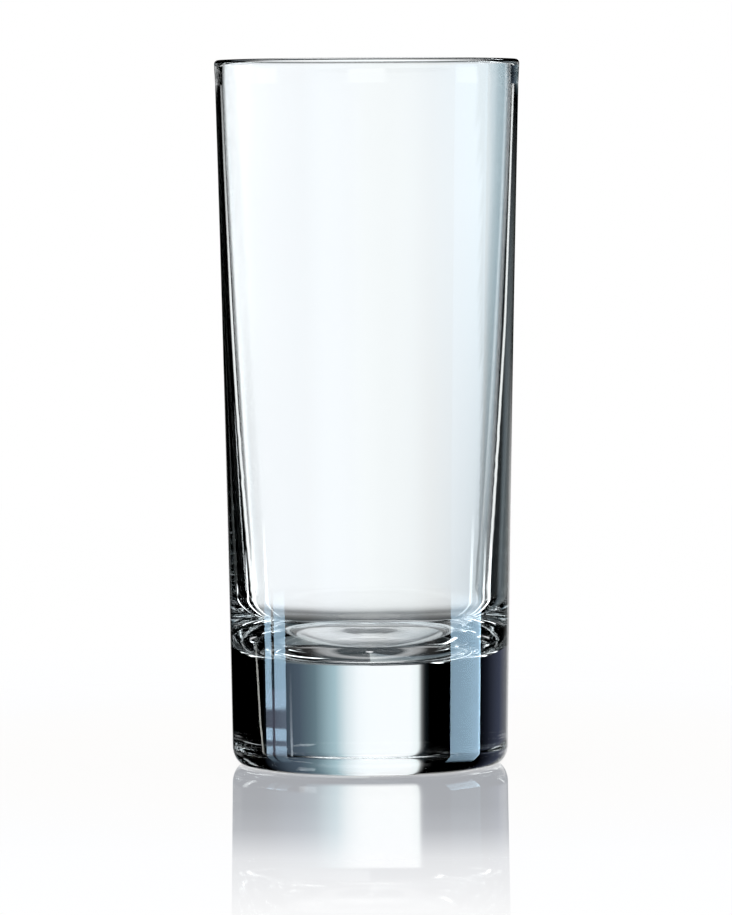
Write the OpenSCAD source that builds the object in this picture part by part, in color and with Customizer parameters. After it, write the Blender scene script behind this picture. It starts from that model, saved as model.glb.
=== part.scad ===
// Highball glass with a heavy solid base, blown in one piece from clear glass.
// The origin is on the axis at table height, +Z is up.

/* [Body] */
// Height from the table to the top of the lip
glass_h = 154; // [120:1:190]
// Outer diameter of the wall, carried down to the table
foot_d = 60.2; // [50:0.2:76]
// Outer diameter of the wall, carried up to the lip
mouth_d = 66.4; // [56:0.2:84]
// Share of the widening that comes as a late flare and not as a straight taper
flare_share = 0.32; // [0:0.02:1]

/* [Wall] */
// Thickness of the wall under the lip
wall_top = 1.6; // [1.2:0.1:3]
// Thickness of the wall at the height of the cavity floor
wall_low = 5.7; // [3:0.1:9]
// Share of the thickening that comes late on the way down, and not evenly
late_share = 0.86; // [0:0.02:1]

/* [Lip] */
// Thickness of the fire-polished lip, slightly more than the wall's
lip_t = 1.92; // [1.6:0.02:3.2]
// Height over which the lip's swell runs out into the wall
lip_swell_h = 4.5; // [2:0.1:10]

/* [Base] */
// Thickness of the solid glass under the middle of the cavity
base_t = 22.7; // [10:0.1:34]
// Height of the round between the cavity's wall and its floor
round_h = 13.5; // [6:0.5:24]
// Width of that round
round_w = 10.5; // [6:0.5:18]
// How much lower the floor's middle lies than its edge
dish_h = 0.6; // [0:0.1:2]

/* [Heel and foot] */
// Height of the rounded heel
heel_h = 4.2; // [2:0.1:8]
// Width of the rounded heel
heel_w = 2.9; // [1.5:0.1:6]
// Width of the flat ring that the glass stands on
ring_w = 2.4; // [1.2:0.1:5]
// Rise of the hollow underside inside that ring
hollow_h = 1.2; // [0.4:0.1:3]

/* [Hidden] */

// Steps along each stretch of the outline
wall_steps = 20;
swell_steps = 6;
lip_steps = 16;
round_steps = 20;
dish_steps = 8;
heel_steps = 12;
hollow_steps = 16;
// Sides of the revolve where it is drawn as a mesh
round_sides = 180;

foot_r = foot_d / 2;
mouth_r = mouth_d / 2;
lip_r = lip_t / 2;
// Height of the middle of the lip's round, where the wall ends
lip_z = glass_h - lip_r;
// How far the lip's swell stands proud of either side of the wall, and where it starts
lip_swell = (lip_t - wall_top) / 2;
swell_z = lip_z - lip_swell_h;
// Height of the floor's edge, and of the top of the round above it
floor_z = base_t + dish_h;
round_z = floor_z + round_h;
// Radius of the dished floor, inside the round
floor_r = inner_r(floor_z) - round_w;
// Outer and inner radius of the bearing ring
ring_out_r = outer_r(heel_h) - heel_w;
ring_in_r = ring_out_r - ring_w;

// Radius of the outer wall at a height, without the lip's swell
function outer_r(z) =
    let (up = z / glass_h)
    foot_r + (mouth_r - foot_r) * ((1 - flare_share) * up + flare_share * up * up);

// Thickness of the wall at a height, without the lip's swell
function wall_t(z) =
    let (down = (glass_h - z) / (glass_h - base_t))
    wall_top + (wall_low - wall_top) * ((1 - late_share) * down + late_share * down * down);

// Swell of the lip at a height: full at lip_z, run out lip_swell_h below it
function swell(z) =
    let (down = min(1, (lip_z - z) / lip_swell_h))
    lip_swell * (1 + cos(180 * down)) / 2;

// Radius of the cavity's wall at a height, carried down to the floor
function inner_r(z) = outer_r(z) - wall_t(z) - swell(z);

// Heel, from the bearing ring up to the wall
heel_line = [
    for (i = [0 : heel_steps])
        let (turn = 90 * i / heel_steps)
        [ring_out_r + heel_w * sin(turn), heel_h * (1 - cos(turn))]
];

// Outer wall, from the heel up to the lip
outer_line = [
    for (i = [1 : wall_steps])
        let (z = heel_h + (swell_z - heel_h) * i / wall_steps)
        [outer_r(z), z],
    for (i = [1 : swell_steps])
        let (z = swell_z + (lip_z - swell_z) * i / swell_steps)
        [outer_r(z) + swell(z), z]
];

// Lip, over the top from the outer wall to the cavity's
lip_mid_r = (outer_r(lip_z) + swell(lip_z) + inner_r(lip_z)) / 2;
lip_line = [
    for (i = [1 : lip_steps - 1])
        let (turn = 180 * i / lip_steps)
        [lip_mid_r + lip_r * cos(turn), lip_z + lip_r * sin(turn)]
];

// Cavity wall, from the lip down to the round
inner_line = [
    for (i = [0 : swell_steps])
        let (z = lip_z + (swell_z - lip_z) * i / swell_steps)
        [inner_r(z), z],
    for (i = [1 : wall_steps - 1])
        let (z = swell_z + (round_z - swell_z) * i / wall_steps)
        [inner_r(z), z]
];

// Round of the cavity, from its wall to the edge of its floor
round_line = [
    for (i = [0 : round_steps])
        let (turn = 90 * i / round_steps, z = round_z - round_h * sin(turn))
        [inner_r(z) - round_w * (1 - cos(turn)), z]
];

// Dished floor of the cavity, from its edge to the axis
dish_line = [
    for (i = [dish_steps - 1 : -1 : 0])
        let (out = i / dish_steps)
        [floor_r * out, base_t + dish_h * (1 - cos(180 * out)) / 2]
];

// Hollow underside, from the axis to the bearing ring
hollow_line = [
    for (i = [0 : hollow_steps])
        let (out = i / hollow_steps)
        [ring_in_r * out, hollow_h * (1 + cos(180 * out)) / 2]
];

module tumbler() {
    color([0.86, 0.94, 0.96, 0.4])
        rotate_extrude($fn = round_sides)
            polygon(concat(
                heel_line, outer_line, lip_line, inner_line, round_line, dish_line, hollow_line
            ));
}

tumbler();
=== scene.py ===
import math

import bpy
from mathutils import Matrix, Vector, noise


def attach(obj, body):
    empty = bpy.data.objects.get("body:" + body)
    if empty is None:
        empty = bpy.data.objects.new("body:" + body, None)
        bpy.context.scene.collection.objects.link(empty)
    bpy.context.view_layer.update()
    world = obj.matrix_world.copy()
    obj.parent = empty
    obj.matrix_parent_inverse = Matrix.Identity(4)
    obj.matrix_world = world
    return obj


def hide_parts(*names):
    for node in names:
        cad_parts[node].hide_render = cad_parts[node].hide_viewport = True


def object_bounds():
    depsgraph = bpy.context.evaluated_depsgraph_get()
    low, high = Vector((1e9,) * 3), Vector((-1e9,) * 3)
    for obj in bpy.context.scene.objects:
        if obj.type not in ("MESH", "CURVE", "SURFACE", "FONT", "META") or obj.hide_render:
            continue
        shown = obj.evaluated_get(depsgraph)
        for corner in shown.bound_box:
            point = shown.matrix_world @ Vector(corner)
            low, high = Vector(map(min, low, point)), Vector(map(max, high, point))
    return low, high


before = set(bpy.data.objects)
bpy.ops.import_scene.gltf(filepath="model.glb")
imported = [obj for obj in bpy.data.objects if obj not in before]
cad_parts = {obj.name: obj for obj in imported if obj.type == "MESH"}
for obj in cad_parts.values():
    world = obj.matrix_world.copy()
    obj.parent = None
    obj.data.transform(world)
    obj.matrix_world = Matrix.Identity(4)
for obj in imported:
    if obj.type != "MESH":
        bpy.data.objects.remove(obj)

CAD_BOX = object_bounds()

MM = 0.001

# Outline of the glass in metres: the sizes of the construction, but for a slightly thinner lip
GLASS_H = CAD_BOX[1].z
FOOT_R = 30.1 * MM
MOUTH_R = 33.2 * MM
FLARE_SHARE = 0.32
WALL_TOP = 1.6 * MM
WALL_LOW = 5.7 * MM
LATE_SHARE = 0.86
LIP_T = 1.74 * MM
LIP_SWELL_H = 4.5 * MM
BASE_T = 22.7 * MM
ROUND_H = 13.5 * MM
ROUND_W = 10.5 * MM
DISH_H = 0.6 * MM
HEEL_H = 4.2 * MM
HEEL_W = 2.9 * MM
RING_W = 2.4 * MM
HOLLOW_H = 1.2 * MM

LIP_R = LIP_T / 2
LIP_Z = GLASS_H - LIP_R
LIP_SWELL = (LIP_T - WALL_TOP) / 2
SWELL_Z = LIP_Z - LIP_SWELL_H
FLOOR_Z = BASE_T + DISH_H
ROUND_Z = FLOOR_Z + ROUND_H

# Steps of the revolved mesh
AROUND = 272
HOLLOW_STEPS = 10
RING_STEPS = 3
HEEL_STEPS = 20
OUTER_STEPS = 24
SWELL_STEPS = 8
LIP_STEPS = 24
UPPER_STEPS = 18
RIPPLE_STEPS = 130
ROUND_STEPS = 56
DISH_STEPS = 28

# The lower part of the cavity's surface is faintly rippled, as (height, depth of the ripples)
RIPPLE_TOP_Z = 84 * MM
RIPPLES = [
    (22 * MM, 0.001 * MM), (27 * MM, 0.004 * MM), (33 * MM, 0.012 * MM), (39 * MM, 0.008 * MM),
    (44 * MM, 0.002 * MM), (60 * MM, 0.001 * MM), (64 * MM, 0.003 * MM), (75 * MM, 0.002 * MM),
    (RIPPLE_TOP_Z, 0.0),
]
# Spacing of the ripples, across and upward
RIPPLE_ACROSS = 6.5 * MM
RIPPLE_UP = 2.3 * MM
# Rings round the cavity's floor, and how far they wander, in radians of a ring's wave
FLOOR_RING_PITCH = 3.4 * MM
FLOOR_RING_DEPTH = 0.007 * MM
FLOOR_RING_DRIFT = 0.5
# Slow unevenness of the whole wall
WAVE_SPACING = 26 * MM
WAVE_DEPTH = 0.008 * MM


def outer_r(z):
    """Radius of the outer wall at a height, without the lip's swell."""
    up = z / GLASS_H
    return FOOT_R + (MOUTH_R - FOOT_R) * ((1 - FLARE_SHARE) * up + FLARE_SHARE * up * up)


def wall_t(z):
    """Thickness of the wall at a height, without the lip's swell."""
    down = (GLASS_H - z) / (GLASS_H - BASE_T)
    return WALL_TOP + (WALL_LOW - WALL_TOP) * ((1 - LATE_SHARE) * down + LATE_SHARE * down * down)


def swell(z):
    """How far the lip stands proud of either side of the wall at a height."""
    down = min(1.0, (LIP_Z - z) / LIP_SWELL_H)
    return LIP_SWELL * (1 + math.cos(math.pi * down)) / 2


def inner_r(z):
    """Radius of the cavity's wall at a height."""
    return outer_r(z) - wall_t(z) - swell(z)


def shares(steps, last=True):
    """Even shares from 0 to 1, with or without the last one."""
    return [i / steps for i in range(steps + (1 if last else 0))]


def heights(first, last, steps):
    """Even heights from the first to the last, without the last one."""
    return [first + (last - first) * s for s in shares(steps, False)]


def glass_outline():
    """The outline from the underside's middle, round the lip, to the middle of the cavity's floor."""
    ring_out = outer_r(HEEL_H) - HEEL_W
    ring_in = ring_out - RING_W
    floor_r = inner_r(FLOOR_Z) - ROUND_W
    lip_mid = (outer_r(LIP_Z) + swell(LIP_Z) + inner_r(LIP_Z)) / 2
    line = [(ring_in * s, HOLLOW_H * (1 + math.cos(math.pi * s)) / 2) for s in shares(HOLLOW_STEPS, False)]
    line += [(ring_in + RING_W * s, 0.0) for s in shares(RING_STEPS, False)]
    for s in shares(HEEL_STEPS, False):
        turn = math.pi / 2 * s
        line.append((ring_out + HEEL_W * math.sin(turn), HEEL_H * (1 - math.cos(turn))))
    line += [(outer_r(z), z) for z in heights(HEEL_H, SWELL_Z, OUTER_STEPS)]
    line += [(outer_r(z) + swell(z), z) for z in heights(SWELL_Z, LIP_Z, SWELL_STEPS)]
    for s in shares(LIP_STEPS, False):
        turn = math.pi * s
        line.append((lip_mid + LIP_R * math.cos(turn), LIP_Z + LIP_R * math.sin(turn)))
    line += [(inner_r(z), z) for z in heights(LIP_Z, SWELL_Z, SWELL_STEPS)]
    line += [(inner_r(z), z) for z in heights(SWELL_Z, RIPPLE_TOP_Z, UPPER_STEPS)]
    line += [(inner_r(z), z) for z in heights(RIPPLE_TOP_Z, ROUND_Z, RIPPLE_STEPS)]
    for s in shares(ROUND_STEPS, False):
        turn = math.pi / 2 * s
        z = ROUND_Z - ROUND_H * math.sin(turn)
        line.append((inner_r(z) - ROUND_W * (1 - math.cos(turn)), z))
    for s in shares(DISH_STEPS):
        out = 1 - s
        line.append((floor_r * out, BASE_T + DISH_H * (1 - math.cos(math.pi * out)) / 2))
    return line


def ramp(stops, place):
    """The value at a place, blended evenly between stops of (place, value)."""
    if place <= stops[0][0]:
        return stops[0][1]
    for (p0, v0), (p1, v1) in zip(stops, stops[1:]):
        if place <= p1:
            return v0 + (v1 - v0) * ((place - p0) / (p1 - p0))
    return stops[-1][1]


def outline_normals(line):
    """The outline's normals, as (outward, upward) pairs that point out of the glass."""
    normals = []
    for i in range(len(line)):
        r0, z0 = line[max(0, i - 1)]
        r1, z1 = line[min(len(line) - 1, i + 1)]
        length = math.hypot(r1 - r0, z1 - z0)
        normals.append(((z1 - z0) / length, (r0 - r1) / length))
    return normals


def ripple(point, r, inside):
    """How far the surface stands proud at a point: slow waves, and ripples and rings in the cavity."""
    lift = WAVE_DEPTH * noise.noise(point / WAVE_SPACING)
    if inside and point.z < RIPPLE_TOP_Z:
        fine = Vector((point.x / RIPPLE_ACROSS, point.y / RIPPLE_ACROSS, point.z / RIPPLE_UP))
        lift += ramp(RIPPLES, point.z) * noise.noise(fine)
        if point.z < ROUND_Z:
            low = min(1.0, (ROUND_Z - point.z) / ROUND_H)
            drift = FLOOR_RING_DRIFT * noise.noise(point / RIPPLE_ACROSS)
            lift += FLOOR_RING_DEPTH * low * math.cos(2 * math.pi * r / FLOOR_RING_PITCH + drift)
    return lift


def add_object(name, data):
    """A new object in the scene, made of the data."""
    made = bpy.data.objects.new(name, data)
    bpy.context.scene.collection.objects.link(made)
    return made


def add_mesh(name, points, faces):
    """A new mesh in the scene, as an object of the same name."""
    mesh = bpy.data.meshes.new(name)
    mesh.from_pydata(points, [], faces)
    return add_object(name, mesh)


def make_glass():
    """The glass as one closed revolved mesh."""
    line = glass_outline()
    normals = outline_normals(line)
    lip_ring = max(range(len(line)), key=lambda i: line[i][1])
    points = [Vector((0, 0, line[0][1]))]
    faces = []
    rings = line[1:-1]
    for k, (r, z) in enumerate(rings, start=1):
        out, up = normals[k]
        inside = k > lip_ring
        # The outer wall is sunk by the waves' depth, so that it stays inside the box of the construction in
        # model.glb
        sunk = 0 if inside else WAVE_DEPTH
        for i in range(AROUND):
            turn = 2 * math.pi * i / AROUND
            cos, sin = math.cos(turn), math.sin(turn)
            point = Vector((r * cos, r * sin, z))
            if z > HEEL_H and abs(z - LIP_Z) > LIP_R:
                point += Vector((out * cos, out * sin, up)) * (ripple(point, r, inside) - sunk)
            points.append(point)
    points.append(Vector((0, 0, line[-1][1])))

    def at(ring, i):
        """Number of a ring's point, counted on past the ring's end to its start."""
        return 1 + ring * AROUND + i % AROUND

    last = len(points) - 1
    last_ring = len(rings) - 1
    for i in range(AROUND):
        faces.append((0, at(0, i + 1), at(0, i)))
        faces.append((last, at(last_ring, i), at(last_ring, i + 1)))
    for ring in range(last_ring):
        for i in range(AROUND):
            faces.append((at(ring, i), at(ring, i + 1), at(ring + 1, i + 1), at(ring + 1, i)))
    glass = add_mesh("highball_glass", points, faces)
    glass.data.polygons.foreach_set("use_smooth", [True] * len(faces))
    glass.data.update()
    return glass


def new_material(name):
    """A material with an empty node tree, and that tree."""
    material = bpy.data.materials.new(name)
    material.use_nodes = True
    tree = material.node_tree
    tree.nodes.clear()
    return material, tree


def add_node(tree, kind, inputs=None, **settings):
    """A node with its settings, each input given a value or linked from another node's socket."""
    made = tree.nodes.new(kind)
    for name, setting in settings.items():
        setattr(made, name, setting)
    for name, value in (inputs or {}).items():
        if isinstance(value, bpy.types.NodeSocket):
            tree.links.new(value, made.inputs[name])
        else:
            made.inputs[name].default_value = value
    return made


def maths(tree, operation, one, other):
    """The socket of a maths node that works on two values or sockets."""
    return add_node(tree, "ShaderNodeMath", {0: one, 1: other}, operation=operation).outputs[0]


def blend(tree, share, one, other):
    """The socket of a colour that goes from one colour to the other by a share."""
    mixed = add_node(tree, "ShaderNodeMixRGB", {"Fac": share, "Color1": one, "Color2": other})
    return mixed.outputs["Color"]


# A colour that leaves the light as it is
CLEAR = (1, 1, 1, 1)
# How much the glass bends light, and its faint tint with the strength of that tint per metre
GLASS_IOR = 1.52
GLASS_TINT = (0.80, 0.95, 1.0, 1)
GLASS_DENSITY = 2.0
# The bearing ring is scuffed up to this height, and the hollow above it is clean
SCUFF_TOP = 0.5 * MM
SCUFF_ROUGH = 0.14
# Grains of the scuffs and of the skin's faint waviness, in grains per metre and finer layers
SCUFF_GRAIN = 900
SCUFF_DETAIL = 4.0
SKIN_GRAIN = 160
SKIN_DETAIL = 1.0
SKIN_DEPTH = 0.0012 * MM


def glass_material():
    """Clear glass with a faintly wavy skin, scuffed where it stands."""
    material, tree = new_material("clear_glass")
    place = add_node(tree, "ShaderNodeTexCoord").outputs["Object"]
    up = add_node(tree, "ShaderNodeSeparateXYZ", {"Vector": place}).outputs["Z"]
    low = add_node(
        tree, "ShaderNodeMapRange",
        {"Value": up, "From Min": 0.0, "From Max": SCUFF_TOP, "To Min": SCUFF_ROUGH, "To Max": 0.0},
    ).outputs["Result"]
    scuffs, skin = (
        add_node(tree, "ShaderNodeTexNoise", {"Vector": place, "Scale": grain, "Detail": detail})
        for grain, detail in ((SCUFF_GRAIN, SCUFF_DETAIL), (SKIN_GRAIN, SKIN_DETAIL))
    )
    rough = maths(tree, "MULTIPLY", low, scuffs.outputs["Fac"])
    bump = add_node(
        tree, "ShaderNodeBump", {"Height": skin.outputs["Fac"], "Strength": 1.0, "Distance": SKIN_DEPTH}
    ).outputs["Normal"]
    shader = add_node(
        tree, "ShaderNodeBsdfPrincipled",
        {
            "Base Color": CLEAR, "Transmission Weight": 1.0, "IOR": GLASS_IOR,
            "Roughness": rough, "Normal": bump,
        },
    ).outputs["BSDF"]
    depth = add_node(
        tree, "ShaderNodeVolumeAbsorption", {"Color": GLASS_TINT, "Density": GLASS_DENSITY}
    ).outputs["Volume"]
    add_node(tree, "ShaderNodeOutputMaterial", {"Surface": shader, "Volume": depth})
    return material


# The studio is a tent round the glass, a standing cylinder whose light is painted by place.
# Around is an angle in degrees, 0 straight behind the glass and growing to the right.
# Up is a height in metres from the table, below the table too, because the table lets this light by.
TENT_R = 1.2
TENT_STEP = 0.5
# Heights of its rows, and close rows as (first, step, count), closest where the window's bars are
TENT_LOW_ROWS = [
    -30, -15, -9, -6, -4.5, -3.4, -2.6, -2.0, -1.6, -1.3, -1.05, -0.85, -0.7, -0.6, -0.52, -0.45, -0.4,
]
TENT_CLOSE_ROWS = [(-0.36, 0.01, 20), (-0.16, 0.001, 80), (-0.08, 0.01, 28)]
TENT_HIGH_ROWS = [0.25, 0.3, 0.4, 0.55, 0.75, 1.0, 1.3, 1.6, 2.0, 4.5, 12.0]


def tent_rows():
    """Heights of all of the tent's rows, from the lowest to the highest."""
    close = [first + step * i for first, step, count in TENT_CLOSE_ROWS for i in range(count)]
    return TENT_LOW_ROWS + close + TENT_HIGH_ROWS


def shade(red, green=None, blue=None):
    """A colour, or a grey where only one number is given."""
    return Vector((red, red if green is None else green, red if blue is None else blue))


BLACK = shade(0)
WHITE = shade(1)

# Seen straight through the solid base: a white field that falls off softly to the right, and black
# beside it, as (angle, colour). The sides and the back have a white field each, for the other views.
STRAIGHT = [
    (-180, WHITE), (-167, WHITE), (-164, BLACK), (-108, BLACK), (-105, WHITE), (-88, WHITE),
    (-85, shade(0.32, 0.32, 0.34)), (-74, shade(0.27, 0.28, 0.31)), (-66, shade(0.15, 0.16, 0.2)),
    (-60, shade(0.06, 0.07, 0.11)), (-53, shade(0.036, 0.042, 0.064)), (-46, shade(0.01, 0.012, 0.02)),
    (-40, BLACK), (-15.6, BLACK), (-14.6, shade(0.12)), (-13.4, shade(0.92, 0.98, 0.98)),
    (-11, shade(1.02, 1.04, 1.05)), (-3, shade(1.02, 1.04, 1.05)), (0.8, shade(1.01, 1.04, 1.05)),
    (3.2, shade(0.96, 1.0, 1.02)), (6.2, shade(0.76, 0.84, 0.87)), (9.5, shade(0.38, 0.53, 0.58)),
    (15.5, shade(0.135, 0.205, 0.24)), (21, shade(0.075, 0.105, 0.14)), (27, shade(0.05, 0.07, 0.095)),
    (32, shade(0.02, 0.028, 0.04)), (38, BLACK), (84, BLACK), (87, WHITE), (105, WHITE), (108, BLACK),
    (164, BLACK), (167, WHITE), (180, WHITE),
]
# It ends high up, and below what the camera sees through the base the table is white all round
STRAIGHT_RISE = [(1.2, 1.0), (1.6, 0.0)]
TABLE_RISE = [(-0.17, 1.0), (-0.11, 0.0)]
TABLE_WHITE = shade(0.93, 0.95, 0.96)
# A dark flag low behind the glass draws the edge of the lip, as (height, share) and (angle, share)
FLAG_RISE = [(-0.9, 0.0), (-0.8, 1.0), (-0.3, 1.0), (-0.25, 0.0)]
FLAG_WIDE = [(28, 1.0), (32, 0.0)]


def straight_light(around, up):
    """Light that passes into the glass and out of it with no reflection between."""
    table = ramp(TABLE_RISE, up)
    flag = ramp(FLAG_RISE, up) * ramp(FLAG_WIDE, abs(around))
    light = ramp(STRAIGHT, around) * (ramp(STRAIGHT_RISE, up) * (1 - table)) + TABLE_WHITE * table
    return light * (1 - flag)


# Seen mirrored in the outer wall: a window with bars on the left and a tall softbox on the right,
# each as (first angle, last angle)
SKY = shade(4.8, 7.25, 9.3)
PANES = [(-106.6, -94.9), (-91.6, -84.2)]
SOFTBOX = (76.3, 110.4)
SOFTBOX_BORDER = [(76.8, 1.55), (78.2, 1.35), (79.2, 1.0), (110.4, 0.95)]
# The window and the softbox are hung a little aslant, by this height for each degree around
SLANT = -0.00019
SLANT_MID = 95
PANE_RISE = [
    (-0.7, 0.0), (-0.5, 0.12), (-0.2, 0.22), (-0.155, 0.4), (-0.1478, 0.95), (-0.1465, 0.12), (-0.1435, 0.12),
    (-0.1422, 1.0), (-0.134, 1.0), (-0.133, 0.09), (-0.127, 0.09), (-0.126, 1.0), (-0.1, 1.0), (-0.095, 0.75),
    (-0.0905, 0.25), (-0.086, 0.0),
]
SOFTBOX_RISE = [
    (-0.62, 0.0), (-0.58, 0.55), (-0.2, 0.7), (-0.157, 0.95), (-0.1555, 0.15), (-0.1535, 0.15), (-0.152, 1.0),
    (-0.1, 1.0), (-0.0955, 0.8), (-0.0915, 0.4), (-0.0875, 0.1), (-0.083, 0.06), (0.0, 0.1), (0.13, 0.1),
]
# A dim glow over the whole window, its bars too, between two heights
BAR_GLOW = shade(0.75, 0.7, 0.95)
BAR_GLOW_LOW = -0.2
BAR_GLOW_HIGH = -0.12
# Two thin slanting lines of light beside the window, as (height, angle, strength)
THREAD_WARM = [
    (-0.19, -84.6, 0.0), (-0.15, -80.1, 2.8), (-0.137, -78.1, 5.2), (-0.105, -73.0, 4.4),
    (-0.098, -72.0, 0.0),
]
THREAD_WARM_TINT = shade(1.0, 1.04, 0.98)
THREAD_COLD = [
    (-0.19, -112.0, 0.0), (-0.16, -112.0, 5.5), (-0.145, -111.8, 4.4), (-0.13, -111.6, 1.6),
    (-0.115, -111.5, 0.0),
]
THREAD_COLD_TINT = shade(0.9, 1.0, 1.1)
THREAD_CORE = 0.7
THREAD_EDGE = 1.4
# The backdrop's own light at a grazing angle, on the left, on the right and by height
EDGE_LEFT = [(-15, 0.0), (-8, 0.9)]
EDGE_RIGHT = [(19, 0.75), (25, 0.15), (36, 0.0)]
EDGE_RISE = [(-0.03, 1.0), (0.02, 0.0)]
# The pale room behind the camera
ROOM = shade(0.6, 0.84, 1.0)
ROOM_WIDE = [(130, 0.0), (146, 1.0)]


def slanting_line(line, around, up, core, edge):
    """Strength of a thin line of light given as (height, angle, strength)."""
    middle = ramp([(height, place) for height, place, _ in line], up)
    strength = ramp([(height, level) for height, _, level in line], up)
    return strength * ramp([(core, 1.0), (edge, 0.0)], abs(around - middle))


def mirror_light(around, up):
    """Light that the glass mirrors without letting it in."""
    level_up = up - SLANT * (abs(around) - SLANT_MID)
    light = ROOM * ramp(ROOM_WIDE, abs(around))
    edge = ramp(EDGE_LEFT, around) if around < 0 else ramp(EDGE_RIGHT, around)
    light += shade(edge * ramp(EDGE_RISE, up))
    for first, last in PANES:
        if first <= around <= last:
            light += SKY * ramp(PANE_RISE, level_up)
    if PANES[0][0] <= around <= PANES[-1][1] and BAR_GLOW_LOW < level_up < BAR_GLOW_HIGH:
        light += BAR_GLOW
    if SOFTBOX[0] <= around <= SOFTBOX[1]:
        light += SKY * ramp(SOFTBOX_RISE, level_up) * ramp(SOFTBOX_BORDER, around)
    light += THREAD_WARM_TINT * slanting_line(THREAD_WARM, around, up, THREAD_CORE, THREAD_EDGE)
    light += THREAD_COLD_TINT * slanting_line(THREAD_COLD, around, up, THREAD_CORE, THREAD_EDGE)
    return light


# Seen after a reflection inside the glass: black, with a slanting line of light on either side,
# as (height, angle, strength), and a dim haze right of the middle
LINE_LEFT = [
    (-0.25, -55, 0.0), (-0.249, -55, 1.3), (-0.208, -51.5, 1.4), (-0.141, -43.5, 1.2), (-0.11, -40, 1.2),
    (-0.037, -35, 1.3), (0.09, -30, 0.5), (0.2, -26, 0.3), (0.21, -26, 0.0),
]
LINE_RIGHT = [
    (-0.25, 53, 0.0), (-0.249, 53, 1.1), (-0.214, 49, 1.1), (-0.143, 43, 1.15), (-0.044, 33, 1.3),
    (0.093, 28, 1.5), (0.2, 26, 0.8), (0.21, 26, 0.0),
]
LINE_CORE = 1.6
LINE_EDGE = 3.0
LINE_TINT = shade(0.96, 1, 1)
HAZE_RIGHT = [
    (4, shade(0.3, 0.33, 0.33)), (14, shade(0.17, 0.2, 0.21)), (26, shade(0.12, 0.15, 0.17)), (33, BLACK),
]
HAZE_RISE = [(-0.1, 1.0), (0.0, 0.6), (0.06, 0.0)]
# Light from under the table that reaches the cavity's floor, as (height, strength)
RING_RISE = [
    (-30, 0.02), (-2.7, 0.03), (-2.5, 0.7), (-2.15, 0.7), (-1.9, 0.04), (-1.05, 0.02), (-0.85, 0.15),
    (-0.6, 0.02), (-0.3, 0.0),
]
# Below this height it goes all round, and above it only so many degrees from each of the four sides
RING_ROUND_TOP = -1.0
RING_WIDE = [(9, 1.0), (13, 0.0)]
# Upright bars of light, low and high, that the cavity's rounded bottom breaks up, as (angle, half width)
LOW_BARS = [(-74, 1.5), (-55, 1.5), (-44, 1.0), (-21, 1.0), (47, 1.2), (57, 1.2), (76, 1.5)]
HIGH_BARS = [(-156, 1.5), (-136, 1.5), (-121, 1.5), (-76, 1.5), (105, 1.5), (137, 1.5), (164, 1.5)]
BAR_LEVEL = shade(4.0, 4.3, 4.4)
BAR_EDGE = 0.5
BAR_RISE = [
    (-1.1, 0.0), (-0.8, 1.0), (-0.23, 1.0), (-0.19, 0.0), (0.28, 0.0), (0.31, 1.0), (0.62, 1.0), (0.68, 0.0),
]
# At these heights the table's mirror image of the base shows the straight light, higher in the middle
MIRRORED_RISE = [(0.105, 0.0), (0.12, 1.0), (0.19, 1.0), (0.21, 0.0)]
MIRRORED_MID_RISE = [(0.105, 0.0), (0.12, 1.0), (0.4, 1.0), (0.45, 0.0)]
MIRRORED_MID = 20
QUARTER = 90


def from_side(around):
    """The angle from the nearest of the four sides, so that all four are lit alike."""
    return abs((around + QUARTER / 2) % QUARTER - QUARTER / 2)


def band_light(around, up):
    """Light that is also reflected on its one way into the glass and out of it."""
    level = ramp(RING_RISE, up)
    if up > RING_ROUND_TOP:
        level *= ramp(RING_WIDE, from_side(around))
    light = shade(level)
    for line in (LINE_LEFT, LINE_RIGHT):
        light += LINE_TINT * slanting_line(line, around, up, LINE_CORE, LINE_EDGE)
    if around > 0:
        light += ramp(HAZE_RIGHT, around) * ramp(HAZE_RISE, up)
    mirrored = ramp(MIRRORED_MID_RISE if abs(around) < MIRRORED_MID else MIRRORED_RISE, up)
    light = light * (1 - mirrored) + straight_light(around, up) * mirrored
    bar_level = ramp(BAR_RISE, up)
    if bar_level:
        for middle, half in (HIGH_BARS if up > 0 else LOW_BARS):
            bar = [(half, 1.0), (half + BAR_EDGE, 0.0)]
            light += BAR_LEVEL * bar_level * ramp(bar, abs(around - middle))
    return light


# Seen through the walls of the cavity: a white field behind the glass, brighter to the left and
# dimmer to the right, a grey panel with an upright edge on the right, and pale cloth round the rest.
# The glass spreads its view more toward the base, so the field is given in shares of the way to the
# panel's edge. The field's left end and the panel are given in degrees from their own edges.
PANEL_EDGE = [(-0.25, 21), (-0.136, 17.5), (-0.092, 14), (-0.004, 8.3), (0.104, 5.3)]
FIELD = [
    (-1.3, shade(1.27, 1.33, 1.36)), (-1.0, shade(1.12, 1.17, 1.2)), (-0.76, shade(1.07, 1.11, 1.14)),
    (-0.6, shade(1.04, 1.08, 1.11)), (-0.4, shade(1.01, 1.05, 1.08)), (-0.1, shade(1.0, 1.03, 1.05)),
    (0, shade(0.99, 1.02, 1.02)), (0.15, shade(0.965, 0.995, 0.995)), (0.3, shade(0.93, 0.965, 0.975)),
    (0.45, shade(0.9, 0.955, 0.985)), (0.6, shade(0.88, 0.945, 0.985)), (1.0, shade(0.86, 0.95, 1.0)),
]
FIELD_LEFT_EDGE = [(-0.25, -31), (-0.136, -27), (-0.092, -24), (-0.004, -20), (0.104, -17.5)]
FIELD_LEFT = [(-14, shade(0.03)), (-6, shade(0.06)), (-3, shade(0.8)), (0, shade(2.0, 2.1, 2.15))]
FIELD_RIGHT_RISE = [(-0.143, 0.78), (-0.08, 0.9), (-0.004, 1.04), (0.06, 1.12)]
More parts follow.
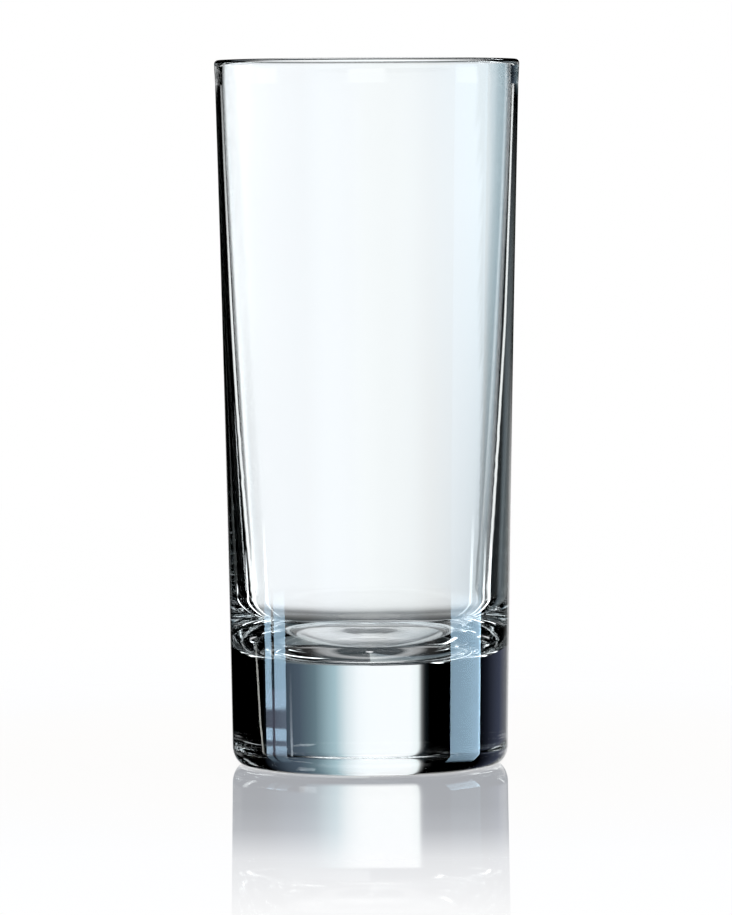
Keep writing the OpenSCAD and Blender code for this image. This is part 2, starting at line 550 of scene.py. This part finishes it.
PANEL = [
    (0, shade(0.86, 0.94, 0.97)), (1.6, shade(0.85, 0.94, 0.98)), (2.3, shade(0.69, 0.81, 0.87)),
    (4.6, shade(0.61, 0.78, 0.86)), (8.4, shade(0.56, 0.76, 0.86)), (9.6, shade(0.34, 0.5, 0.59)),
    (11.5, shade(0.15, 0.24, 0.29)), (15, shade(0.03)), (180, shade(0.03)),
]
PANEL_RISE = [(-0.143, 0.38), (-0.08, 0.62), (-0.004, 0.88), (0.06, 1.0)]
FIELD_RISE = [
    (-30, 0.04), (-3.0, 0.06), (-2.4, 0.35), (-2.05, 0.1), (-1.95, 0.95), (-1.7, 0.95), (-1.6, 0.1),
    (-1.12, 0.16), (-0.9, 0.33), (-0.68, 0.22), (-0.6, 0.35), (-0.52, 0.62), (-0.41, 0.84), (-0.36, 0.93),
    (-0.28, 1.0), (0.5, 1.0), (0.7, 0.06), (1.05, 0.06), (1.2, 1.3), (1.7, 1.3), (2.2, 0.06),
]
# The cloth's strength by height, the angle at which it starts by height, and how soon it covers all
CLOTH = shade(0.84, 0.9, 0.93)
CLOTH_RISE = [(-30, 0.85), (-0.3, 0.85), (-0.13, 1.0), (0.3, 1.0), (0.42, 0.0)]
CLOTH_START = [(-0.45, 24), (-0.25, 40)]
CLOTH_FADE = 9


def deep_light(around, up):
    """Light that comes through the cavity."""
    edge = ramp(PANEL_EDGE, up)
    left_edge = ramp(FIELD_LEFT_EDGE, up)
    way = around / edge
    if around > edge:
        light = ramp(PANEL, around - edge) * ramp(PANEL_RISE, up)
    elif around < left_edge:
        light = ramp(FIELD_LEFT, around - left_edge)
    elif way < FIELD[0][0]:
        light = ramp([(left_edge, FIELD_LEFT[-1][1]), (FIELD[0][0] * edge, FIELD[0][1])], around)
    else:
        light = ramp(FIELD, way)
        if way > 0:
            light = light * (1 + (ramp(FIELD_RIGHT_RISE, up) - 1) * min(1.0, way))
    light = light * ramp(FIELD_RISE, up)
    start = ramp(CLOTH_START, up)
    aside = ramp([(start, 0.0), (start + CLOTH_FADE, 1.0)], abs(around))
    light = light * (1 - aside) + CLOTH * (aside * ramp(CLOTH_RISE, up))
    return light


def plain_light(around, up):
    """Light that the bare table's gloss mirrors, the same everywhere."""
    return WHITE


# Each light with the counts of the light path and the sum under which it wins over those before it
LIGHTS = [
    ("deep", deep_light, None, None),
    ("band", band_light, ("Transmission Depth",), 2.5),
    ("straight", straight_light, ("Ray Depth",), 2.5),
    ("mirror", mirror_light, ("Transmission Depth",), 0.5),
    ("plain", plain_light, ("Transmission Depth", "Is Singular Ray"), 0.5),
]


def tent_material():
    """Light from the tent's painted colours, chosen by the path that the light took through the glass."""
    material, tree = new_material("tent_light")
    path = add_node(tree, "ShaderNodeLightPath").outputs
    colour = None
    for name, _, counts, limit in LIGHTS:
        paint = add_node(tree, "ShaderNodeAttribute", attribute_name=name).outputs["Color"]
        if counts:
            total = path[counts[0]]
            for other in counts[1:]:
                total = maths(tree, "ADD", total, path[other])
            paint = blend(tree, maths(tree, "LESS_THAN", total, limit), colour, paint)
        colour = paint
    glow = add_node(tree, "ShaderNodeEmission", {"Color": colour})
    add_node(tree, "ShaderNodeOutputMaterial", {"Surface": glow.outputs["Emission"]})
    material.cycles.emission_sampling = "NONE"
    return material


def make_tent():
    """The cylinder round the glass, with each light painted on its points."""
    columns = round(360 / TENT_STEP)
    rows = tent_rows()
    places = [(-180 + TENT_STEP * i, up) for i in range(columns + 1) for up in rows]
    points = [
        (TENT_R * math.sin(math.radians(around)), TENT_R * math.cos(math.radians(around)), up)
        for around, up in places
    ]
    faces = []
    for i in range(columns):
        for j in range(len(rows) - 1):
            one = i * len(rows) + j
            beside = one + len(rows)
            faces.append((one, beside, beside + 1, one + 1))
    tent = add_mesh("tent", points, faces)
    for name, light, _, _ in LIGHTS:
        layer = tent.data.color_attributes.new(name, "FLOAT_COLOR", "POINT")
        colours = []
        for around, up in places:
            colours += [*light(around, up), 1.0]
        layer.data.foreach_set("color", colours)
    tent.data.materials.append(tent_material())
    tent.visible_camera = False
    tent.visible_diffuse = False
    tent.visible_shadow = False


def shown(tree):
    """1 for rays that show the background: from the camera, off a gloss or through glass."""
    path = add_node(tree, "ShaderNodeLightPath").outputs
    seen = maths(tree, "MAXIMUM", path["Is Camera Ray"], path["Is Glossy Ray"])
    return maths(tree, "MAXIMUM", seen, path["Is Transmission Ray"])


# Strength of the white surround, as a source of light and where a ray shows it
WORLD_LEVEL = 0.8
SHOWN_LEVEL = 1.0


def make_world():
    """A white surround."""
    world = bpy.data.worlds.new("studio")
    bpy.context.scene.world = world
    world.use_nodes = True
    tree = world.node_tree
    tree.nodes.clear()
    lit, seen = (
        add_node(tree, "ShaderNodeBackground", {"Color": CLEAR, "Strength": level}).outputs["Background"]
        for level in (WORLD_LEVEL, SHOWN_LEVEL)
    )
    mixed = add_node(tree, "ShaderNodeMixShader", {0: shown(tree), 1: lit, 2: seen}).outputs["Shader"]
    add_node(tree, "ShaderNodeOutputWorld", {"Surface": mixed})


FLOOR_R = 12.0
FLOOR_SIDES = 96
# Share of the floor's own white, from near the glass to far from it, as (distance, share) twice
FLOOR_WHITE = ((0.12, 0.9), (0.8, 1.0))
# Its matt colour, which throws light back at the glass
FLOOR_MATT = (0.96, 0.96, 0.96, 1)
# Strength of its gloss by distance, and the tints that make a dark mirror image slightly blue: the gloss's
# own tint, and a painted reflection tint of blue laid on the floor's white near the glass
GLOSS_STOPS = [(0.09, 1.04), (0.13, 0.92), (0.18, 0.4), (0.23, 0.24), (0.3, 0.0)]
GLOSS_TINT = (1.0, 0.97, 0.92, 1)
PAINTED_REFLECTION_BLUE = (0.965, 1.0, 1.07, 1)
GLOSS_ROUGH = 0.02
GLOSS_IOR = 1.8
# A colour ramp holds no level over 1, so the gloss is divided by this in it and multiplied after it
RAMP_SCALE = 2.0


def floor_material():
    """White that shows as it is, painted slightly blue near the glass as a painted reflection tint, under a
    gloss that fades away from the glass.
    """
    material, tree = new_material("pale_floor")
    place = add_node(tree, "ShaderNodeTexCoord").outputs["Object"]
    far = add_node(tree, "ShaderNodeVectorMath", {0: place}, operation="LENGTH").outputs["Value"]
    (near, near_share), (away, away_share) = FLOOR_WHITE
    own = add_node(
        tree, "ShaderNodeMapRange",
        {"Value": far, "From Min": near, "From Max": away, "To Min": near_share, "To Max": away_share},
    ).outputs["Result"]
    reach = GLOSS_STOPS[-1][0]
    fall = add_node(tree, "ShaderNodeValToRGB", {"Fac": maths(tree, "DIVIDE", far, reach)})
    elements = fall.color_ramp.elements
    for i, (distance, level) in enumerate(GLOSS_STOPS):
        stop = elements[i] if i < 2 else elements.new(distance / reach)
        stop.position = distance / reach
        stop.color = (*shade(level / RAMP_SCALE), 1)
    strength = maths(tree, "MULTIPLY", fall.outputs["Color"], RAMP_SCALE)
    # The floor's white is painted slightly blue near the glass, as strongly as the gloss, as a painted
    # reflection tint
    tint = blend(tree, strength, CLEAR, PAINTED_REFLECTION_BLUE)
    matt = add_node(tree, "ShaderNodeBsdfDiffuse", {"Color": FLOOR_MATT}).outputs["BSDF"]
    white = add_node(tree, "ShaderNodeEmission", {"Color": tint}).outputs["Emission"]
    share = maths(tree, "MULTIPLY", shown(tree), own)
    base = add_node(tree, "ShaderNodeMixShader", {0: share, 1: matt, 2: white}).outputs["Shader"]
    gloss = add_node(tree, "ShaderNodeBsdfGlossy", {"Color": GLOSS_TINT, "Roughness": GLOSS_ROUGH})
    fresnel = add_node(tree, "ShaderNodeFresnel", {"IOR": GLOSS_IOR}).outputs["Fac"]
    mirrored = maths(tree, "MULTIPLY", fresnel, strength)
    top = add_node(tree, "ShaderNodeMixShader", {0: mirrored, 1: base, 2: gloss.outputs["BSDF"]})
    add_node(tree, "ShaderNodeOutputMaterial", {"Surface": top.outputs["Shader"]})
    return material


def make_floor():
    """The table as a wide round floor that the light inside the glass passes by."""
    turns = [2 * math.pi * i / FLOOR_SIDES for i in range(FLOOR_SIDES)]
    points = [(FLOOR_R * math.cos(turn), FLOOR_R * math.sin(turn), 0) for turn in turns]
    floor = add_mesh("floor", points, [range(FLOOR_SIDES)])
    floor.data.materials.append(floor_material())
    floor.visible_transmission = False
    floor.visible_glossy = False


LAMP_SIZE = 1.2
LAMP_ENERGY = 6
LAMP_UP = 1.4


def make_lamp():
    """A soft round lamp over the glass."""
    data = bpy.data.lights.new("overhead", "AREA")
    data.shape = "DISK"
    data.size = LAMP_SIZE
    data.energy = LAMP_ENERGY
    add_object("overhead", data).location = (0, 0, LAMP_UP)


# The camera's place, its tilt down and roll in degrees, and its lens and sensor in millimetres
CAMERA_BACK = 1692.9 * MM
CAMERA_UP = 177.9 * MM
CAMERA_ASIDE = -0.59 * MM
CAMERA_PITCH = 3.745
CAMERA_ROLL = -0.3
CAMERA_LENS = 305.35
SENSOR_W = 36
CLIP_NEAR = 0.05
CLIP_FAR = 50


def make_camera():
    """The camera in front of the glass, a little above it."""
    data = bpy.data.cameras.new("camera")
    data.lens = CAMERA_LENS
    data.sensor_width = SENSOR_W
    data.clip_start = CLIP_NEAR
    data.clip_end = CLIP_FAR
    camera = add_object("camera", data)
    camera.matrix_world = (
        Matrix.Translation((CAMERA_ASIDE, -CAMERA_BACK, CAMERA_UP))
        @ Matrix.Rotation(math.radians(90 - CAMERA_PITCH), 4, "X")
        @ Matrix.Rotation(math.radians(CAMERA_ROLL), 4, "Z")
    )
    bpy.context.scene.camera = camera


make_camera()
make_world()
make_floor()
make_lamp()
make_tent()

glass = make_glass()
glass.data.materials.append(glass_material())
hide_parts("tumbler")
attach(glass, "root")

# The counts of bounces are high, because light is reflected many times inside thick glass
INNER_BOUNCES = 32
GLOSSY_BOUNCES = 24
scene = bpy.context.scene
scene.view_settings.view_transform = "Standard"
scene.cycles.max_bounces = INNER_BOUNCES
scene.cycles.glossy_bounces = GLOSSY_BOUNCES
scene.cycles.transmission_bounces = INNER_BOUNCES
